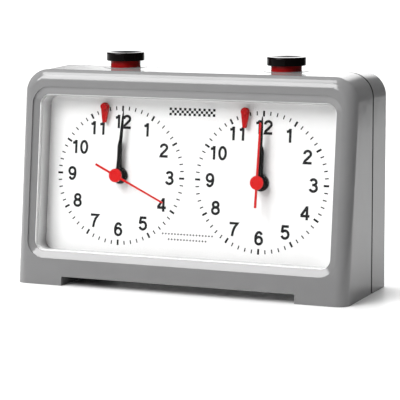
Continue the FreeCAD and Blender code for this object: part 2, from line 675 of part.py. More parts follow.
def meshed(first_phase, towards, first_teeth, second_teeth):
    """The phase that puts a gap of the second wheel round the first wheel's tooth."""
    return towards + 180 + 180 / second_teeth - (first_phase - towards) * first_teeth / second_teeth


def polar(distance, angle):
    return distance * math.cos(math.radians(angle)), distance * math.sin(math.radians(angle))


MOTION_DISTANCE = size("motion_module") * (TEETH["cannon"] + TEETH["minute"]) / 2
THIRD_DISTANCE = size("third_module") * (TEETH["third"] + TEETH["second_pinion"]) / 2
STEP_DISTANCE = size("drive_module") * (TEETH["second"] + TEETH["step_pinion"]) / 2
ROTOR_DISTANCE = size("drive_module") * (TEETH["step"] + TEETH["rotor_pinion"]) / 2
CENTRE_MODULE = 2 * THIRD_DISTANCE / (TEETH["centre"] + TEETH["third_pinion"])

MOTION_ANGLE, THIRD_ANGLE, STEP_ANGLE, ROTOR_ANGLE = -45.0, 225.0, 90.0, 120.0
MINUTE_AT = polar(MOTION_DISTANCE, MOTION_ANGLE)
KNOB_AT = polar(2 * MOTION_DISTANCE, MOTION_ANGLE)
THIRD_AT = polar(THIRD_DISTANCE, THIRD_ANGLE)
STEP_AT = polar(STEP_DISTANCE, STEP_ANGLE)
ROTOR_AT = tuple(a + b for a, b in zip(STEP_AT, polar(ROTOR_DISTANCE, ROTOR_ANGLE)))
KNOB_ACROSS = round(KNOB_AT[0], 4)


def knob_reach():
    """How far behind the dial the knob's outer face is, measured along the dial's normal."""
    lean = math.radians(LEAN)
    depth = size("case_depth / 2 - dial_place - knob_sink") - KNOB_AT[1] * math.sin(lean)
    return -depth / math.cos(lean)


def knob_height():
    """The height of the knob's outer face above the ground."""
    lean = math.radians(LEAN)
    return round(size("dial_height") + KNOB_AT[1] * math.cos(lean) + knob_reach() * math.sin(lean), 3)


def make_wheels(name, side):
    frame = dial_frame(side)
    gap, arbor, face = size("bearing_gap"), size("arbor"), size("face")
    bottom, top = size("box_back + 0.4"), size("box_front - 0.4")
    motion, hours, drive = size("motion_module"), size("hour_module"), size("drive_module")
    third = size("third_module")

    second_up = size("second_low")
    formed(f"seconds_wheel_{name}", frame, rod(size("second_arbor"), bottom, second_up).multiFuse([
        toothed(TEETH["second"], drive, size("second_layer"), STEP_ANGLE),
        toothed(TEETH["second_pinion"], third, size("third_layer"), THIRD_ANGLE),
        rod(1.0, size("second_layer") + face, size("third_layer")),
        rod(1.0, size("second_layer") - 0.8, size("second_layer"))]))

    phase = meshed(STEP_ANGLE, STEP_ANGLE, TEETH["second"], TEETH["step_pinion"])
    step = toothed(TEETH["step_pinion"], drive, size("second_layer"), phase, arbor + gap)
    step = step.multiFuse([toothed(TEETH["step"], drive, size("step_layer"), ROTOR_ANGLE, arbor + gap),
                           rod(0.9, size("step_layer") + face, size("second_layer"), arbor + gap)])
    formed(f"step_wheel_{name}", beside(frame, STEP_AT), step)

    phase = meshed(ROTOR_ANGLE, ROTOR_ANGLE, TEETH["step"], TEETH["rotor_pinion"])
    rotor = rod(arbor, bottom, top).multiFuse([
        toothed(TEETH["rotor_pinion"], drive, size("step_layer"), phase),
        rod(2.4, size("step_layer") - 1.9, size("step_layer") - 0.3)])
    formed(f"rotor_{name}", beside(frame, ROTOR_AT), rotor)

    phase = meshed(THIRD_ANGLE, THIRD_ANGLE, TEETH["second_pinion"], TEETH["third"])
    carrier = rod(arbor, bottom, top).multiFuse([
        toothed(TEETH["third"], third, size("third_layer"), phase),
        toothed(TEETH["third_pinion"], CENTRE_MODULE, size("centre_layer"), THIRD_ANGLE + 180)])
    formed(f"third_wheel_{name}", beside(frame, THIRD_AT), carrier)

    phase = meshed(THIRD_ANGLE + 180, THIRD_ANGLE + 180, TEETH["third_pinion"], TEETH["centre"])
    formed(f"center_gear_{name}", frame, toothed(
        TEETH["centre"], CENTRE_MODULE, size("centre_layer"), phase, size("minute_tube + 0.03")))

    tube_low = size("centre_layer") - 0.45
    tube = rod(size("minute_tube"), tube_low, size("minute_high"), size("minute_bore"))
    formed(f"center_arbor_{name}", frame, tube.multiFuse([
        rod(1.6, tube_low, size("centre_layer") - 0.08, size("minute_bore")),
        toothed(TEETH["cannon"], motion, size("minute_layer"), MOTION_ANGLE, size("minute_bore"))]))

    phase = meshed(MOTION_ANGLE, MOTION_ANGLE, TEETH["cannon"], TEETH["minute"])
    minute = toothed(TEETH["minute"], motion, size("minute_layer"), phase, arbor + gap)
    minute = minute.multiFuse([
        toothed(TEETH["minute_pinion"], hours, size("hour_layer"), MOTION_ANGLE + 180, arbor + gap),
        rod(0.85, size("minute_layer") + face, size("hour_layer"), arbor + gap)])
    formed(f"minute_wheel_{name}", beside(frame, MINUTE_AT), minute)

    hour_phase = meshed(MOTION_ANGLE + 180, MOTION_ANGLE + 180, TEETH["minute_pinion"], TEETH["hour"])
    formed(f"hour_wheel_{name}", frame, toothed(
        TEETH["hour"], hours, size("hour_layer"), hour_phase, size("hour_bore")).fuse(
        rod(size("hour_tube"), size("hour_layer"), size("hour_low"), size("hour_bore"))))

    knob_phase = meshed(phase, MOTION_ANGLE, TEETH["minute"], TEETH["knob"])
    far = knob_reach()
    head = Part.makeCylinder(size("knob_radius"), size("knob_thick"), Vector(0, 0, far))
    flute = Part.makeCylinder(0.5, size("knob_thick") + 1, Vector(0, 0, far - 0.5))
    flutes = 24
    grips = [moved(flute, *polar(size("knob_radius") + 0.15, 360 / flutes * index))
             for index in range(flutes)]
    head = head.cut(grips[0].multiFuse(grips[1:]))
    knob = rod(size("knob_shaft"), far + 1, size("minute_layer")).multiFuse([
        toothed(TEETH["knob"], motion, size("minute_layer"), knob_phase),
        rod(arbor, size("minute_layer"), top), head])
    formed(f"set_knob_{name}", beside(frame, KNOB_AT), knob)


# ---------------------------------------------------------------- movement cases and electrics
def square(half):
    return rectangle(f"-({half})", half, f"-({half})", half)


def make_movement(name, side):
    frame = dial_frame(side)
    third = tuple(round(value, 4) for value in THIRD_AT)
    rotor = tuple(round(value, 4) for value in ROTOR_AT)
    knob = tuple(round(value, 4) for value in KNOB_AT)
    minute = tuple(round(value, 4) for value in MINUTE_AT)
    step = tuple(round(value, 4) for value in STEP_AT)
    inside_front, inside_back = "box_front - box_wall", "box_back + box_wall"
    pivots = [third, rotor, knob]
    piece(f"case_front_{name}", frame,
          pad([square("box_half")], "box_split", "box_front"),
          pocket([square("box_half - box_wall")], "box_split - 1", inside_front),
          pad([("disc", 0, 0, "neck_outer")], inside_front, "nut_high + 0.1"),
          pad([("disc", *third, "boss"), ("disc", *knob, "boss")], "hour_layer + 0.2", inside_front),
          pad([("disc", *rotor, "boss")], "step_layer + face + 0.5", inside_front),
          pad([("disc", *minute, "arbor")], "minute_layer - 0.5", inside_front),
          pocket([("disc", 0, 0, "neck_bore")], "box_split", "nut_high + 0.2"),
          pocket([("disc", *place, "arbor + bearing_gap") for place in pivots], "step_layer",
                 "box_front - 0.35"))
    piece(f"case_back_{name}", frame,
          pad([square("box_half")], "box_back", "box_split"),
          pocket([square("box_half - box_wall")], inside_back, "box_split + 1"),
          pad([("disc", *third, "boss"), ("disc", 0, 0, "boss")], inside_back, "step_layer - 2.4"),
          pad([("disc", *rotor, "boss")], inside_back, "step_layer - 2.4"),
          pad([("disc", *step, "arbor")], inside_back, "second_layer + face + 0.3"),
          pocket([("disc", *third, "arbor + bearing_gap"), ("disc", *rotor, "arbor + bearing_gap"),
                  ("disc", 0, 0, "second_arbor + bearing_gap")], "box_back + 0.35", "step_layer"),
          pocket([("disc", *knob, "knob_shaft + bearing_gap")], "box_back - 1", "box_split + 1"))
    plane_low, plane_high = "step_layer - 1.1", "step_layer - 0.3"
    piece(f"stator_{name}", frame,
          pad([rectangle("core_left", "core_right", "core_low - 7.2", "core_top"),
               rectangle("core_left + 3", "core_right - 3", "core_low - 0.8", "core_low"),
               ("disc", *rotor, "2.75")], plane_low, plane_high))
    piece(f"coil_{name}", frame,
          pad([rectangle("core_left + 4", "core_right - 4", "core_low - 0.7", "core_top + 1.1")],
              f"{plane_low} - 1.6", f"{plane_high} + 1.2"),
          pocket([rectangle("core_left + 3", "core_right - 3", "core_low - 0.05", "core_top + 0.05")],
                 plane_low, plane_high))
    board_back = "box_back + 1.9"
    chip = rectangle("board_left + 2.5", "board_left + 8", -4, 2)
    crystal = rectangle("board_left + 3.5", "board_left + 6.5", 8, 16)
    piece(f"pcb_{name}", frame,
          pad([rectangle("board_left", "board_right", "board_low", "board_high")],
              board_back, f"{board_back} + 0.8"),
          pad([chip, crystal], f"{board_back} + 0.8", f"{board_back} + 2.5"))


# ---------------------------------------------------------------- hands
def spun(frame, clockwise):
    return frame.multiply(Placement(Vector(), Rotation(Vector(0, 0, 1), -clockwise)))


def needle(stations):
    """A hand's outline from (half width, reach) stations along its right edge, first to last."""
    right = [(half, reach) for half, reach in stations]
    left = [(f"-({half})", reach) for half, reach in reversed(stations)]
    return ("polygon", right + left)


def make_hands(name, side):
    frame = dial_frame(side)
    second_needle = needle([(0.5, "-second_tail"), (0.38, "second_reach - 0.5"), (0.15, "second_reach")])
    piece(f"seconds_hand_{name}", spun(frame, SECOND_HAND_TURN[name]),
          pad([("disc", 0, 0, "second_hub")], "second_low", "second_high"),
          pad([second_needle], "second_low", "second_high"),
          pad([("disc", 0, 0, "1.0")], "minute_high + 0.35", "second_low"),
          pocket([("disc", 0, 0, "second_arbor")], "minute_high", "second_low"))
    minute_needle = needle([("minute_half_width", 0), (0.75, 20), (0.5, "minute_reach - 3"),
                            (0.12, "minute_reach")])
    piece(f"minute_hand_{name}", spun(frame, MINUTE_HAND_TURN[name]),
          pad([("disc", 0, 0, "minute_hub")], "minute_low", "minute_high"),
          pad([minute_needle], "minute_low", "minute_high"),
          pocket([("disc", 0, 0, "minute_tube")], "minute_low - 1", "minute_high"))
    hour_needle = needle([("hour_half_width", 0), (1.1, "hour_reach - 2.5"), (0.5, "hour_reach")])
    piece(f"hour_hand_{name}", spun(frame, HOUR_HAND_TURN[name]),
          pad([("disc", 0, 0, "hour_hub")], "hour_low", "hour_high"),
          pad([hour_needle], "hour_low", "hour_high"),
          pocket([("disc", 0, 0, "hour_bore")], "hour_low - 1", "hour_high"))


# ---------------------------------------------------------------- battery
def make_battery():
    end = "cell_length / 2"
    piece("battery", SIDEWAYS,
          pad([("disc", "cell_place", "cell_height", "cell_radius")], f"-{end}", end),
          pad([("disc", "cell_place", "cell_height", "nub_radius")], end, f"{end} + nub_length"))
    plate_half = 5.0
    plate_edges = [f"{place} {sign} {plate_half}"
                   for place in ("cell_place", "cell_height") for sign in "-+"]
    piece("battery_plate", SIDEWAYS,
          pad([rectangle(*plate_edges)], "cell_length / 2 + 3", "cell_length / 2 + 3.4"),
          pad([("disc", "cell_place", "cell_height", "2")], "cell_length / 2 + nub_length",
              "cell_length / 2 + 3"))
    pitch, turns, coil_radius, wire_radius, taper_degrees = 1.3, 3, 2.6, 0.35, 25
    spine = Part.makeHelix(pitch, pitch * turns, coil_radius, taper_degrees)
    first_edge = spine.Edges[0]
    parameter = first_edge.FirstParameter
    section = Part.makeCircle(wire_radius, first_edge.valueAt(parameter), first_edge.tangentAt(parameter))
    coil = Part.Wire(spine.Edges).makePipeShell([Part.Wire([section])], True, True)
    plate = Part.makeBox(2 * plate_half, 2 * plate_half, 0.4, Vector(-plate_half, -plate_half, -0.55))
    frame = Placement(Vector(-size("cell_length / 2") - 4.85, size("cell_place"), size("cell_height")),
                      Rotation(Vector(0, 1, 0), 90))
    formed("battery_spring", frame, plate.fuse(coil))


def make_battery_door():
    outside = "case_depth / 2 - 0.1"
    grooves = [rectangle(-5, 5, f"-door_high + {low}", f"-door_high + {low + 0.7}")
               for low in (1.6, 3.0, 4.4)]
    piece("battery_door", REARWARD,
          pad([rectangle("-door_half + door_gap", "door_half - door_gap",
                         "-door_high + door_gap", "-door_low - door_gap")],
              "case_depth / 2 - 1.7", outside),
          pocket(grooves, "case_depth / 2 - 0.6", outside))


# ---------------------------------------------------------------- build and write
make_front_shell()
make_rear_shell()
make_case_screws()
make_dial_plate()
make_mounting_nuts()
make_window()
make_flags()
make_buttons()
make_rocker()
make_switch()
for side_name, side_sign in SIDES.items():
    make_movement(side_name, side_sign)
    make_wheels(side_name, side_sign)
    make_hands(side_name, side_sign)
make_battery()
make_battery_door()
doc.recompute()

failed = [item.Name for item in doc.Objects if {"Invalid", "Error"} & set(item.State)]
if failed:
    raise ValueError(f"features that failed: {failed}")
os.makedirs("parts", exist_ok=True)
for node in NODES:
    if node.Shape.isNull() or not node.Shape.isValid() or not node.Shape.Solids:
        raise ValueError(f"{node.Label} has no valid solid")
    node.Shape.exportStep(f"parts/{node.Label}.step")
    box = node.Shape.BoundBox
    print(f"{node.Label:22s} solids {len(node.Shape.Solids)}  volume {node.Shape.Volume:9.1f}  "
          f"x {box.XMin:7.2f} {box.XMax:7.2f}  y {box.YMin:7.2f} {box.YMax:7.2f}  "
          f"z {box.ZMin:7.2f} {box.ZMax:7.2f}")
print(len(NODES), "nodes")
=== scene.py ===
"""Looks of an analogue chess clock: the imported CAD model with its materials, the printed dials,
the studio and the camera.  Metres, in the CAD's frame: X right, Y back, Z up."""
import json
import math
import re

import bmesh
import bpy
from mathutils import Matrix, Quaternion, Vector


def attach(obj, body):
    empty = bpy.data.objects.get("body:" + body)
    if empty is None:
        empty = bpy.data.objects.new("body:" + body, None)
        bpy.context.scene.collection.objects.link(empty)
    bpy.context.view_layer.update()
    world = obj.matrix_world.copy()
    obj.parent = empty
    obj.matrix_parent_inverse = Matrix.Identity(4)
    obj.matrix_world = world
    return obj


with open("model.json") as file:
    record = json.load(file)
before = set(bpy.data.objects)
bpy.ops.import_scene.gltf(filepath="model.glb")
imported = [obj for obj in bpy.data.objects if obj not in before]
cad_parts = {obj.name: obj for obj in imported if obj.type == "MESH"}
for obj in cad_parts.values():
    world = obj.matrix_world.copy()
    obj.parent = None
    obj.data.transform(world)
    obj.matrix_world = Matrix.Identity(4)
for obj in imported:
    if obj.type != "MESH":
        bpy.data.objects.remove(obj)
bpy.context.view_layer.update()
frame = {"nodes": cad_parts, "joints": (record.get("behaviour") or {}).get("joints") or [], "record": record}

MM = 0.001
SIDES = ("left", "right")
SEAM_PLACE = 8.63 * MM
SEAM_HALF = 0.76 * MM
# Near-black painted shade for the faces inside the seam, standing in for the shadow in the gap.
SEAM_PAINTED_SHADE = (0.02, 0.02, 0.02)
# Heights above the dial face, and places up the dial, between which the tray's walls carry painted shade.
WALL_SHADE_START, WALL_SHADE_END = 0.2 * MM, 9.0 * MM
TOP_WALL_SHADE_START, TOP_WALL_SHADE_END = 33.0 * MM, 37.0 * MM
METAL_GRAIN = 900.0
METAL_VARY = 0.08
JOINTS = {joint["name"]: joint for joint in frame["joints"]}

# ---------------------------------------------------------------- places taken from the frame
def dial_matrix(side):
    """The dial's frame: x to the right, y up the dial, z out of it, at the centre of the hands."""
    joint = JOINTS[f"seconds_{side}_spin"]
    outward = -Vector(joint["axis"]).normalized()
    right = Vector((1, 0, 0))
    up = outward.cross(right).normalized()
    matrix = Matrix((right, up, outward)).transposed().to_4x4()
    matrix.translation = Vector(joint["pos_m"])
    return matrix


DIALS = {side: dial_matrix(side) for side in SIDES}
PLATE = DIALS["left"].copy()
PLATE.translation = (DIALS["left"].translation + DIALS["right"].translation) / 2


# ---------------------------------------------------------------- materials
def new_material(name):
    material = bpy.data.materials.new(name)
    material.use_nodes = True
    return material, material.node_tree.nodes, material.node_tree.links


def noise(nodes, links, scale, detail=4.0):
    coordinates = nodes.new("ShaderNodeTexCoord")
    texture = nodes.new("ShaderNodeTexNoise")
    texture.inputs["Scale"].default_value = scale
    texture.inputs["Detail"].default_value = detail
    links.new(coordinates.outputs["Object"], texture.inputs["Vector"])
    return texture.outputs["Fac"]


def ramp(nodes, links, source, low, high, start=0.35, end=0.65):
    """Maps a grey source to a colour or, with plain numbers, to a grey value."""
    colours = nodes.new("ShaderNodeValToRGB")
    for element, value, place in zip(colours.color_ramp.elements, (low, high), (start, end)):
        element.position = place
        element.color = (*value, 1) if isinstance(value, tuple) else (value, value, value, 1)
    links.new(source, colours.inputs["Fac"])
    return colours.outputs["Color"]


def bump(nodes, links, source, depth):
    node = nodes.new("ShaderNodeBump")
    node.inputs["Distance"].default_value = depth
    links.new(source, node.inputs["Height"])
    return node.outputs["Normal"]


def plastic(name, colour, rough, vary=0.05, grain=1400.0, grain_depth=4e-6, shine=0.5):
    """Moulded plastic: a faint mottle, a fine grain and slightly uneven gloss."""
    material, nodes, links = new_material(name)
    shader = nodes["Principled BSDF"]
    dark = tuple(value * (1 - vary) for value in colour)
    light = tuple(min(1.0, value * (1 + vary)) for value in colour)
    links.new(ramp(nodes, links, noise(nodes, links, 60.0), dark, light), shader.inputs["Base Color"])
    links.new(ramp(nodes, links, noise(nodes, links, 240.0), max(0.02, rough - 0.04), rough + 0.05),
              shader.inputs["Roughness"])
    links.new(bump(nodes, links, noise(nodes, links, grain, 2.0), grain_depth), shader.inputs["Normal"])
    shader.inputs["Specular IOR Level"].default_value = shine
    return material


def metal(name, colour, rough):
    """Metal with faint stains, uneven gloss and a fine grain."""
    material, nodes, links = new_material(name)
    shader = nodes["Principled BSDF"]
    shader.inputs["Metallic"].default_value = 1.0
    dark = tuple(value * (1 - METAL_VARY) for value in colour)
    links.new(ramp(nodes, links, noise(nodes, links, 300.0), dark, colour), shader.inputs["Base Color"])
    links.new(ramp(nodes, links, noise(nodes, links, 500.0), rough, rough + 0.12),
              shader.inputs["Roughness"])
    links.new(bump(nodes, links, noise(nodes, links, METAL_GRAIN), 3e-6), shader.inputs["Normal"])
    return material


def clear_plastic(name):
    material, nodes, links = new_material(name)
    shader = nodes["Principled BSDF"]
    shader.inputs["Base Color"].default_value = (0.1, 0.1, 0.1, 1)
    shader.inputs["Roughness"].default_value = 0.03
    shader.inputs["Alpha"].default_value = 0.04
    shader.inputs["IOR"].default_value = 1.46
    return material


def mixed(nodes, links, mask, first, second):
    """The first colour where the mask is 0 and the second where it is 1."""
    mix = nodes.new("ShaderNodeMix")
    mix.data_type = "RGBA"
    for socket, value in (("Factor", mask), ("A", first), ("B", second)):
        if isinstance(value, tuple):
            mix.inputs[socket].default_value = (*value, 1)
        else:
            links.new(value, mix.inputs[socket])
    return mix.outputs["Result"]


def case_plastic(name, colour, rough):
    """Grey plastic with painted shade on the two faces inside the seam, where the gap between the shells
    lies in shadow.
    """
    material = plastic(name, colour, rough, vary=0.02, grain_depth=1e-6)
    nodes, links = material.node_tree.nodes, material.node_tree.links
    shader = nodes["Principled BSDF"]
    base = shader.inputs["Base Color"].links[0].from_socket
    place = nodes.new("ShaderNodeSeparateXYZ")
    links.new(nodes.new("ShaderNodeTexCoord").outputs["Object"], place.inputs["Vector"])
    # Mask of the seam faces, which get the painted shade instead of the grey.
    seam_shade_mask = nodes.new("ShaderNodeMath")
    seam_shade_mask.operation = "COMPARE"
    seam_shade_mask.inputs[1].default_value = SEAM_PLACE
    seam_shade_mask.inputs[2].default_value = SEAM_HALF
    links.new(place.outputs["Y"], seam_shade_mask.inputs[0])
    # Painted shade: the seam faces are coloured near-black.
    links.new(mixed(nodes, links, seam_shade_mask.outputs["Value"], base, SEAM_PAINTED_SHADE),
              shader.inputs["Base Color"])
    return material


def distance_along(nodes, links, direction, nearest, furthest):
    """0 to 1 along a direction of the dial plate, between two distances from its middle."""
    along = nodes.new("ShaderNodeVectorMath")
    along.operation = "DOT_PRODUCT"
    along.inputs[1].default_value = direction
    links.new(nodes.new("ShaderNodeTexCoord").outputs["Object"], along.inputs[0])
    reach = nodes.new("ShaderNodeMapRange")
    middle = direction.dot(PLATE.translation)
    reach.inputs["From Min"].default_value = middle + nearest
    reach.inputs["From Max"].default_value = middle + furthest
    links.new(along.outputs["Value"], reach.inputs["Value"])
    return reach.outputs["Result"]


def tray_plastic(name, face, wall_shaded_deep, wall_lit_front, top_wall_shaded):
    """The dial plate: a white face, and walls with painted shade: dark deep in the recess where they meet
    the face, lighter towards the player, and less light on the top wall.
    """
    material = plastic(name, face, 0.5, vary=0.012, grain_depth=3e-6)
    nodes, links = material.node_tree.nodes, material.node_tree.links
    shader = nodes["Principled BSDF"]
    face_colour = shader.inputs["Base Color"].links[0].from_socket
    height = distance_along(nodes, links, PLATE.col[2].to_3d(), WALL_SHADE_START, WALL_SHADE_END)
    up = distance_along(nodes, links, PLATE.col[1].to_3d(), TOP_WALL_SHADE_START, TOP_WALL_SHADE_END)
    # Painted shade on the walls: darkest where they meet the face, lighter towards the front edge; the top
    # wall gets darker painted shade.
    side_wall_painted_shade = ramp(nodes, links, height, wall_shaded_deep, wall_lit_front, 0.0, 1.0)
    top_wall_painted_shade = ramp(nodes, links, height, wall_shaded_deep, top_wall_shaded, 0.0, 1.0)
    above = nodes.new("ShaderNodeMath")
    above.operation = "GREATER_THAN"
    above.inputs[1].default_value = 0.001
    links.new(height, above.inputs[0])
    walls_painted_shade = mixed(nodes, links, up, side_wall_painted_shade, top_wall_painted_shade)
    # The face keeps its own white; only the walls carry the painted shade.
    links.new(mixed(nodes, links, above.outputs["Value"], face_colour, walls_painted_shade), shader.inputs["Base Color"])
    return material


MATERIALS = {
    "case_grey": case_plastic("case_grey", (0.172, 0.172, 0.173), 0.1),
    "dial_white": plastic("dial_white", (0.86, 0.86, 0.855), 0.5, vary=0.012, grain_depth=3e-6),
    # The dial plate's tray, with painted shade on its walls.
    "dial_tray_painted_shade": tray_plastic("dial_tray_painted_shade", (0.8, 0.8, 0.797), (0.28, 0.28, 0.28), (0.74, 0.74, 0.74),
                              (0.52, 0.52, 0.52)),
    "window_clear": clear_plastic("window_clear"),
    "button_red": plastic("button_red", (0.3, 0.003, 0.004), 0.14, shine=0.12),
    "button_black": plastic("button_black", (0.003, 0.002, 0.002), 0.04, grain_depth=1e-6, shine=0.1),
    "hand_black": plastic("hand_black", (0.003, 0.003, 0.003), 0.3, shine=0.07),
    "hand_red": plastic("hand_red", (0.52, 0.003, 0.003), 0.3, shine=0.2),
    "flag_red": plastic("flag_red", (0.4, 0.006, 0.006), 0.15, shine=0.2),
    "nut_black": plastic("nut_black", (0.006, 0.006, 0.006), 0.28),
    "lever_black": plastic("lever_black", (0.03, 0.03, 0.032), 0.45),
    "movement_black": plastic("movement_black", (0.025, 0.025, 0.026), 0.4),
    "gear_white": plastic("gear_white", (0.75, 0.74, 0.69), 0.35),
    "board_green": plastic("board_green", (0.02, 0.13, 0.06), 0.3),
    "battery_jacket": plastic("battery_jacket", (0.05, 0.07, 0.2), 0.25),
    "pin_brass": metal("pin_brass", (0.75, 0.56, 0.25), 0.25),
    "contact_bronze": metal("contact_bronze", (0.72, 0.42, 0.22), 0.3),
    "coil_copper": metal("coil_copper", (0.62, 0.24, 0.1), 0.3),
    "spring_steel": metal("spring_steel", (0.55, 0.55, 0.56), 0.3),
    "screw_steel": metal("screw_steel", (0.6, 0.6, 0.62), 0.25),
    "ink": plastic("ink", (0.004, 0.004, 0.005), 0.45, vary=0.2, shine=0.2),
    "ink_grey": plastic("ink_grey", (0.05, 0.05, 0.055), 0.5, vary=0.2),
}
SLOTS = {entry["node"]: entry["material_slot"] for entry in frame["record"]["subparts"]}
for node_name, node in frame["nodes"].items():
    node.data.materials.clear()
    node.data.materials.append(MATERIALS[SLOTS[node_name]])
# The dial plate gets the tray material, whose walls carry painted shade.
frame["nodes"]["dial_plate"].data.materials[0] = MATERIALS["dial_tray_painted_shade"]


# Edges of these are broken a little, by widths in millimetres, so that they catch the light.
SOFT_EDGES = {"button_cap": 0.12, "button_stem": 0.1, "seconds_hand": 0.1, "minute_hand": 0.08,
              "hour_hand": 0.08, "flag": 0.15, "front_shell": 0.15, "rear_shell": 0.15}
EDGE_ANGLE = math.radians(35)
for node_name, node in frame["nodes"].items():
    width = SOFT_EDGES.get(re.sub("_(left|right)$", "", node_name))
    if width:
        bevel = node.modifiers.new("soft_edges", "BEVEL")
        bevel.width = width * MM
        bevel.segments = 2
        bevel.limit_method = "ANGLE"
        bevel.angle_limit = EDGE_ANGLE


# ---------------------------------------------------------------- printed dials
def finish_piece(name, mesh_builder, material, matrix):
    """A printed piece, built flat and moved onto its dial."""
    mesh = bpy.data.meshes.new(name)
    builder = bmesh.new()
    mesh_builder(builder)
    bmesh.ops.recalc_face_normals(builder, faces=builder.faces)
    builder.transform(matrix)
    builder.to_mesh(mesh)
    builder.free()
    piece = bpy.data.objects.new(name, mesh)
    bpy.context.collection.objects.link(piece)
    piece.data.materials.append(MATERIALS[material])
    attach(piece, "case")


INK = 0.03 * MM  # thickness of the printing


def add_slab(builder, corners):
    """A layer of ink over an outline of (x, y) corners."""
    bottom = [builder.verts.new((x, y, 0)) for x, y in corners]
    top = [builder.verts.new((x, y, INK)) for x, y in corners]
    builder.faces.new(top)
    builder.faces.new(bottom[::-1])
    for index in range(len(corners)):
        after = (index + 1) % len(corners)
        builder.faces.new((bottom[index], bottom[after], top[after], top[index]))


# Inner radius, outer radius and width.
HOUR_TICK = (31.0 * MM, 33.7 * MM, 1.0 * MM)
MINUTE_TICK = (31.6 * MM, 33.5 * MM, 0.58 * MM)


def build_ticks(builder):
    for minute in range(60):
        inner, outer, width = HOUR_TICK if minute % 5 == 0 else MINUTE_TICK
        angle = math.radians(90 - 6 * minute)
        along = Vector((math.cos(angle), math.sin(angle)))
        across = Vector((-along.y, along.x)) * width / 2
        corners = [along * inner - across, along * outer - across,
                   along * outer + across, along * inner + across]
        add_slab(builder, [tuple(corner) for corner in corners])


NUMERAL_RADIUS = 26.0
NUMERAL_PITCH = 4.81
STROKE = 1.26
FIGURE_WIDTH = 1.24
FIGURE_HEIGHT = 1.05


def arc(across, up, wide, tall, start, end, count=20):
    """Points of an elliptic arc, angles in degrees."""
    angles = [math.radians(start + (end - start) * index / count) for index in range(count + 1)]
    return [(across + wide * math.cos(angle), up + tall * math.sin(angle)) for angle in angles]


SIX = [arc(0.02, -1.06, 1.3, 1.61, 0, 360), arc(0.06, -0.12, 1.38, 2.79, 195, 38)]
# The centre lines of each figure's strokes, in millimetres about the figure's middle.
FIGURES = {
    "0": [arc(0, 0, 1.3, 2.67, 0, 360, 32)],
    "1": [[(0.42, -3.1), (0.42, 3.1)], [(-1.05, 1.72), (-0.35, 1.84), (0.1, 2.2), (0.3, 2.8)]],
    "2": [arc(0, 1.35, 1.27, 1.32, 185, -38) + [(0.1, -0.55), (-1.0, -1.75), (-1.28, -2.67), (1.7, -2.67)]],
    "3": [arc(-0.05, 1.42, 1.15, 1.25, 165, -85), arc(-0.05, -1.22, 1.37, 1.45, 85, -165),
          [(-0.55, 0.2), (0.2, 0.2)]],
    "4": [[(0.72, 3.1), (0.72, -3.1)], [(-1.85, -1.3), (1.8, -1.3)], [(0.62, 2.65), (-1.6, -1.2)]],
    "5": [[(1.45, 2.67), (-0.95, 2.67), (-1.27, -0.15)], arc(0.0, -0.95, 1.37, 1.72, 152, -162)],
    "6": SIX,
    "7": [[(-1.65, 2.67), (1.62, 2.67), (0.55, 1.1), (-0.1, -0.8), (-0.45, -3.1)]],
    "8": [arc(0, 1.45, 1.12, 1.22, 0, 360), arc(0, -1.22, 1.36, 1.45, 0, 360)],
    "9": [[(-across, -up) for across, up in stroke] for stroke in SIX],
}


def add_ribbon(builder, path, width):
    """A flat strip of even width along a path, mitred at its corners."""
    points = [Vector(point) for point in path]
    closed = (points[0] - points[-1]).length < 1e-6
    if closed:
        points = points[:-1]
    rails = []
    for index, point in enumerate(points):
        before = points[index - 1] if index or closed else None
        after = points[(index + 1) % len(points)] if index + 1 < len(points) or closed else None
        arriving = (point - before).normalized() if before is not None else None
        leaving = (after - point).normalized() if after is not None else None
        along = ((arriving or leaving) + (leaving or arriving)).normalized()
        across = Vector((-along.y, along.x))
        reach = width / 2 / max(0.5, along.dot(leaving or arriving))
        rails.append((point - across * reach, point + across * reach))
    pairs = zip(rails, rails[1:] + rails[:1] if closed else rails[1:])
    for (right, left), (next_right, next_left) in pairs:
        corners = [tuple(corner * MM) for corner in (right, next_right, next_left, left)]
        add_slab(builder, corners)


def build_numerals(builder):
    for hour in range(1, 13):
        angle = math.radians(90 - 30 * hour)
        middle = Vector((math.cos(angle), math.sin(angle))) * NUMERAL_RADIUS
        figures = str(hour)
        for index, figure in enumerate(figures):
            shift = (index - (len(figures) - 1) / 2) * NUMERAL_PITCH
            for stroke in FIGURES[figure]:
                path = [(middle.x + shift + FIGURE_WIDTH * across, middle.y + FIGURE_HEIGHT * up)
                        for across, up in stroke]
                add_ribbon(builder, path, STROKE)


for side in SIDES:
    finish_piece(f"ticks_{side}", build_ticks, "ink", DIALS[side])
    finish_piece(f"numerals_{side}", build_numerals, "ink", DIALS[side])


CHEQUER_CELL = 1.25 * MM
CHEQUER_COLUMNS, CHEQUER_ROWS = 19, 3
CHEQUER_MIDDLE = 31.8 * MM


def build_chequer(builder):
    """A generic chequered band, high between the dials."""
    for column in range(CHEQUER_COLUMNS):
        for row in range(CHEQUER_ROWS):
            if (column + row) % 2 == 0:
                left = (column - CHEQUER_COLUMNS / 2) * CHEQUER_CELL
                low = CHEQUER_MIDDLE + (row - CHEQUER_ROWS / 2) * CHEQUER_CELL
                right, high = left + CHEQUER_CELL, low + CHEQUER_CELL
                add_slab(builder, [(left, low), (right, low), (right, high), (left, high)])


DOT_COUNTS = (17, 13)
DOT_PITCH = 1.6 * MM
DOT_HALF = 0.55 * MM
DOT_TOP, DOT_LINE = -26.6 * MM, 2.6 * MM


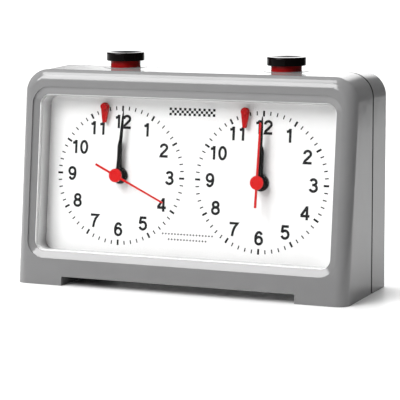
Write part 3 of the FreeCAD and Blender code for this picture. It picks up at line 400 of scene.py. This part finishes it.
def build_dots(builder):
    """Two rows of small diamonds, low between the dials."""
    for row, count in enumerate(DOT_COUNTS):
        for index in range(count):
            x = (index - (count - 1) / 2) * DOT_PITCH
            y = DOT_TOP - DOT_LINE * row
            add_slab(builder, [(x - DOT_HALF, y), (x, y - DOT_HALF), (x + DOT_HALF, y), (x, y + DOT_HALF)])


finish_piece("chequer_mark", build_chequer, "ink", PLATE)
finish_piece("dot_rows", build_dots, "ink_grey", PLATE)

# ---------------------------------------------------------------- studio
FLOOR_REACH = 9.0
# The floor is one even colour.  The case doesn't mirror the part to the right of this line.
MIRROR_EDGE = [(0.33, -FLOOR_REACH), (0.33, 0.69), (2.27, FLOOR_REACH)]
floor_material = plastic("studio_floor", (0.72, 0.72, 0.72), 0.4, vary=0.01, grain=40.0)


def add_floor(name, corners, mirrored):
    """A flat part of the floor, which the glossy case mirrors or doesn't."""
    mesh = bpy.data.meshes.new(name)
    mesh.from_pydata([(x, y, 0) for x, y in corners], [], [range(len(corners))])
    mesh.materials.append(floor_material)
    floor = bpy.data.objects.new(name, mesh)
    bpy.context.collection.objects.link(floor)
    floor.visible_glossy = mirrored


add_floor("studio_floor", [(-FLOOR_REACH, -FLOOR_REACH), *MIRROR_EDGE, (-FLOOR_REACH, FLOOR_REACH)], True)
add_floor("studio_floor_beyond", [*MIRROR_EDGE[::-1], (FLOOR_REACH, -FLOOR_REACH),
                                  (FLOOR_REACH, FLOOR_REACH)], False)

world = bpy.data.worlds.new("studio")
bpy.context.scene.world = world
world.use_nodes = True
sky, sky_links = world.node_tree.nodes, world.node_tree.links


def sky_math(operation, first, second):
    node = sky.new("ShaderNodeMath")
    node.operation = operation
    for socket, value in zip(node.inputs, (first, second)):
        if isinstance(value, (int, float)):
            socket.default_value = value
        else:
            sky_links.new(value, socket)
    return node.outputs[0]


def sky_step(source, start, end, low, high):
    """A smooth change from low to high as the source goes from start to end."""
    node = sky.new("ShaderNodeMapRange")
    node.interpolation_type = "SMOOTHSTEP"
    sky_links.new(source, node.inputs["Value"])
    for name, value in (("From Min", start), ("From Max", end), ("To Min", low), ("To Max", high)):
        node.inputs[name].default_value = value
    return node.outputs["Result"]


BACKDROP_STRENGTH = 1.9
ROOM_STRENGTH = 0.07
# A bright band low behind the clock, over a dim room.
direction = sky.new("ShaderNodeSeparateXYZ")
sky_links.new(sky.new("ShaderNodeTexCoord").outputs["Generated"], direction.inputs["Vector"])
east, north, height = direction.outputs
slanted = sky_math("SUBTRACT", height, sky_math("MULTIPLY", sky_math("ADD", east, 0.4), 1.1))
low_band = sky_step(slanted, 0.14, 0.24, BACKDROP_STRENGTH, 0.0)
backdrop = sky_math("MULTIPLY", low_band, sky_step(north, 0.2, 0.5, 0.0, 1.0))
backdrop = sky_math("MULTIPLY", backdrop, sky_step(east, -0.15, 0.05, 1.0, 0.0))
glow = sky_math("ADD", backdrop, ROOM_STRENGTH)
sky_links.new(glow, sky["Background"].inputs["Strength"])
sky["Background"].inputs["Color"].default_value = (1, 1, 1, 1)


def add_light(name, place, target, size, radiance, glossy=True):
    """A soft rectangular light.  Its power follows from its size and radiance."""
    light = bpy.data.lights.new(name, "AREA")
    light.shape = "RECTANGLE"
    light.size, light.size_y = size
    light.energy = radiance * math.pi * size[0] * size[1]
    lamp = bpy.data.objects.new(name, light)
    bpy.context.collection.objects.link(lamp)
    lamp.location = place
    lamp.rotation_euler = (Vector(target) - Vector(place)).to_track_quat("-Z", "Y").to_euler()
    lamp.visible_glossy = glossy


add_light("key_softbox", (-0.45, -0.88, 0.8), (0, 0, 0.05), (0.72, 0.72), 10.5)
add_light("top_softbox", (-0.48, -0.3, 1.2), (-0.48, -0.3, 0), (0.8, 0.75), 7.0)
add_light("side_wash", (0.75, 0.35, 1.1), (0.75, 0.35, 0), (0.9, 0.9), 2.4, glossy=False)
add_light("floor_wash", (-2.2, 3.0, 2.4), (-2.2, 3.0, 0), (5.0, 6.0), 3.7, glossy=False)

# ---------------------------------------------------------------- camera
CAMERA_PLACE = Vector((0.35445, -0.81886, 0.16714))
CAMERA_TARGET = Vector((0.00535, -0.01002, 0.04284))
CAMERA_ROLL = math.radians(-0.204)
CAMERA_LENS = 168.58  # millimetres, like the sensor's width
CAMERA_SENSOR = 36.0
camera_data = bpy.data.cameras.new("camera")
camera_data.lens = CAMERA_LENS
camera_data.sensor_width = CAMERA_SENSOR
camera = bpy.data.objects.new("camera", camera_data)
bpy.context.collection.objects.link(camera)
aim = (CAMERA_TARGET - CAMERA_PLACE).to_track_quat("-Z", "Y")
camera.location = CAMERA_PLACE
camera.rotation_euler = (aim @ Quaternion((0, 0, 1), CAMERA_ROLL)).to_euler()
bpy.context.scene.camera = camera
bpy.context.scene.view_settings.view_transform = "Standard"
